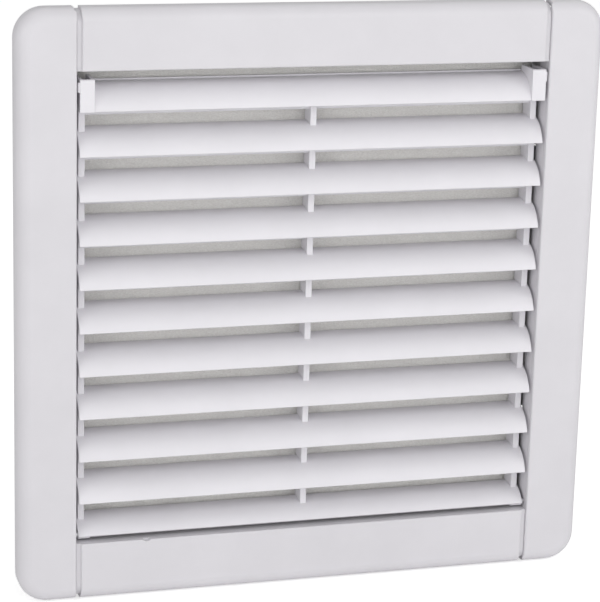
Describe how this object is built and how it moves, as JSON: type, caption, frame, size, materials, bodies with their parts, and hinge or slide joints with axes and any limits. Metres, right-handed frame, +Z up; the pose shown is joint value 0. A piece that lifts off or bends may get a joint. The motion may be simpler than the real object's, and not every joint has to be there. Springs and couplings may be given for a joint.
{
  "type": "louvred air grille",
  "caption": "Square louvred air grille with a hinged blade panel over a filter mat, side covers that pull off, and a housing that clips or screws into a wall cut-out.",
  "frame": {"origin": "centre of the rear mounting face, midway between the fixing holes, in the plane that seats on the wall", "axes": "-Y out of the front of the grille, +Y through the wall, +Z up, +X to the right seen from the front"},
  "size_m": [0.25, 0.03, 0.25],
  "materials": {
    "frame_plastic": "light grey moulded plastic, fine satin grain",
    "louvre_plastic": "light grey moulded plastic, smooth satin",
    "housing_plastic": "light grey moulded plastic, plain",
    "filter_fleece": "bonded synthetic fibre mat, off-white",
    "seal_foam": "closed-cell black foam",
    "steel": "drawn steel pin",
    "zinc_steel": "zinc-plated",
    "spring_steel": "rolled stainless strip and wire"
  },
  "bodies": {
    "housing": {"front_frame": "frame_plastic", "mounting_frame": "housing_plastic", "rear_grid": "housing_plastic", "filter_mat": "filter_fleece", "gasket": "seal_foam", "hinge_pin_left": "steel", "hinge_pin_right": "steel", "frame_screws": "zinc_steel", "clip_pin_upper_left": "steel", "clip_pin_lower_left": "steel", "clip_pin_upper_right": "steel", "clip_pin_lower_right": "steel", "clip_spring_upper_left": "spring_steel", "clip_spring_lower_left": "spring_steel", "clip_spring_upper_right": "spring_steel", "clip_spring_lower_right": "spring_steel"},
    "louvre": {"louvre_panel": "louvre_plastic"},
    "cover_left": {"side_cover_left": "frame_plastic"},
    "cover_right": {"side_cover_right": "frame_plastic"},
    "catch_upper_left": {"clip_upper_left": "spring_steel"},
    "catch_lower_left": {"clip_lower_left": "spring_steel"},
    "catch_upper_right": {"clip_upper_right": "spring_steel"},
    "catch_lower_right": {"clip_lower_right": "spring_steel"}
  },
  "joints": [
    {"name": "louvre_hinge", "type": "hinge", "parent": "housing", "child": "louvre", "pos_m": [0, -0.0074, -0.0969], "axis": [1, 0, 0], "range_deg": [0, 90]},
    {"name": "cover_pull_left", "type": "slide", "parent": "housing", "child": "cover_left", "axis": [0, -1, 0], "range_m": [0, 0.0055]},
    {"name": "cover_pull_right", "type": "slide", "parent": "housing", "child": "cover_right", "axis": [0, -1, 0], "range_m": [0, 0.0055]},
    {"name": "clip_press_upper_left", "type": "hinge", "parent": "housing", "child": "catch_upper_left", "pos_m": [-0.1043, 0.0134, 0.055], "axis": [0, 0, 1], "range_deg": [0, 18], "stiffness_Nm_per_rad": 0.15},
    {"name": "clip_press_lower_left", "type": "hinge", "parent": "housing", "child": "catch_lower_left", "pos_m": [-0.1043, 0.0134, -0.055], "axis": [0, 0, 1], "range_deg": [0, 18], "stiffness_Nm_per_rad": 0.15},
    {"name": "clip_press_upper_right", "type": "hinge", "parent": "housing", "child": "catch_upper_right", "pos_m": [0.1043, 0.0134, 0.055], "axis": [0, 0, -1], "range_deg": [0, 18], "stiffness_Nm_per_rad": 0.15},
    {"name": "clip_press_lower_right", "type": "hinge", "parent": "housing", "child": "catch_lower_right", "pos_m": [0.1043, 0.0134, -0.055], "axis": [0, 0, -1], "range_deg": [0, 18], "stiffness_Nm_per_rad": 0.15}
  ]
}
